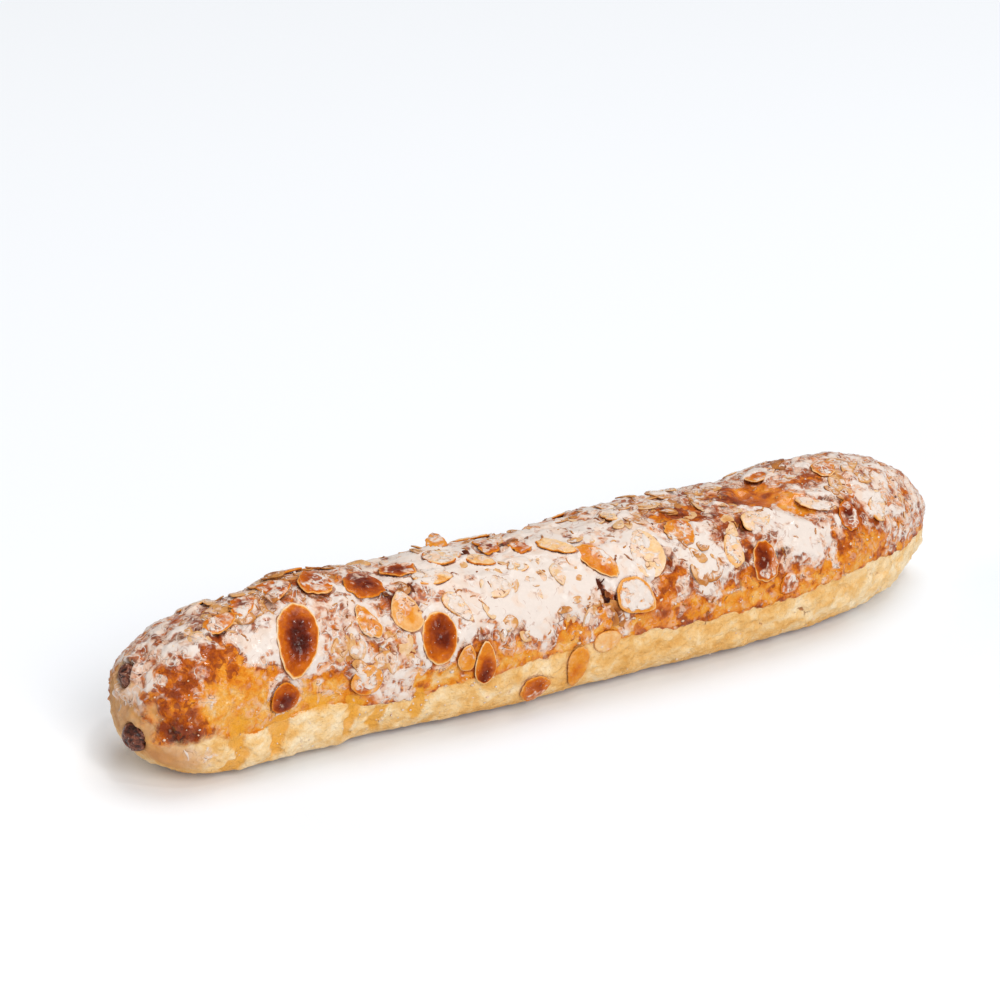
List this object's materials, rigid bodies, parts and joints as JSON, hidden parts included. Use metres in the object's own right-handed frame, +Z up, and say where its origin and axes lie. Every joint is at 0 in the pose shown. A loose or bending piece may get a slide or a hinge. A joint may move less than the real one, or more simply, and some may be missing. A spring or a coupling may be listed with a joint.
{
  "type": "almond pastry log",
  "caption": "Long baked dough log with a flat base and blunt rounded ends, glazed white and covered in flaked almonds, with raisins at one end.",
  "frame": {"origin": "on the flat base, under the middle of the log's length and width", "axes": "+X along the log to its fuller end, +Z up, -Y the front side with the pale foot shown by the picture"},
  "size_m": [0.3019, 0.0591, 0.0512],
  "materials": {
    "crust": "golden brown baked crust, paler at the foot, under cracked white sugar glaze",
    "almond_dark": "flaked almond baked dark brown, thinly glazed",
    "almond_amber": "flaked almond baked golden amber, thinly glazed",
    "almond_pale": "pale beige flaked almond under white glaze",
    "raisin": "dark wrinkled raisin"
  },
  "bodies": {
    "root": {"almond_amber_01": "almond_amber", "almond_amber_02": "almond_amber", "almond_amber_03": "almond_amber", "almond_amber_04": "almond_amber", "almond_amber_05": "almond_amber", "almond_amber_06": "almond_amber", "almond_amber_07": "almond_amber", "almond_amber_08": "almond_amber", "almond_amber_09": "almond_amber", "almond_amber_10": "almond_amber", "almond_amber_11": "almond_amber", "almond_amber_12": "almond_amber", "almond_amber_13": "almond_amber", "almond_amber_14": "almond_amber", "almond_amber_15": "almond_amber", "almond_amber_16": "almond_amber", "almond_dark_01": "almond_dark", "almond_dark_02": "almond_dark", "almond_dark_03": "almond_dark", "almond_dark_04": "almond_dark", "almond_dark_05": "almond_dark", "almond_dark_06": "almond_dark", "almond_dark_07": "almond_dark", "almond_dark_08": "almond_dark", "almond_dark_09": "almond_dark", "almond_dark_10": "almond_dark", "almond_dark_11": "almond_dark", "almond_dark_12": "almond_dark", "almond_dark_13": "almond_dark", "almond_dark_14": "almond_dark", "almond_pale_01": "almond_pale", "almond_pale_02": "almond_pale", "almond_pale_03": "almond_pale", "almond_pale_04": "almond_pale", "almond_pale_05": "almond_pale", "almond_pale_06": "almond_pale", "almond_pale_07": "almond_pale", "almond_pale_08": "almond_pale", "almond_pale_09": "almond_pale", "almond_pale_10": "almond_pale", "almond_pale_11": "almond_pale", "almond_pale_12": "almond_pale", "almond_pale_13": "almond_pale", "almond_pale_14": "almond_pale", "almond_pale_15": "almond_pale", "almond_pale_16": "almond_pale", "almond_pale_17": "almond_pale", "almond_pale_18": "almond_pale", "almond_pale_19": "almond_pale", "almond_pale_20": "almond_pale", "almond_pale_21": "almond_pale", "loaf": "crust", "raisin_nose": "raisin", "raisin_shoulder": "raisin"}
  },
  "joints": []
}
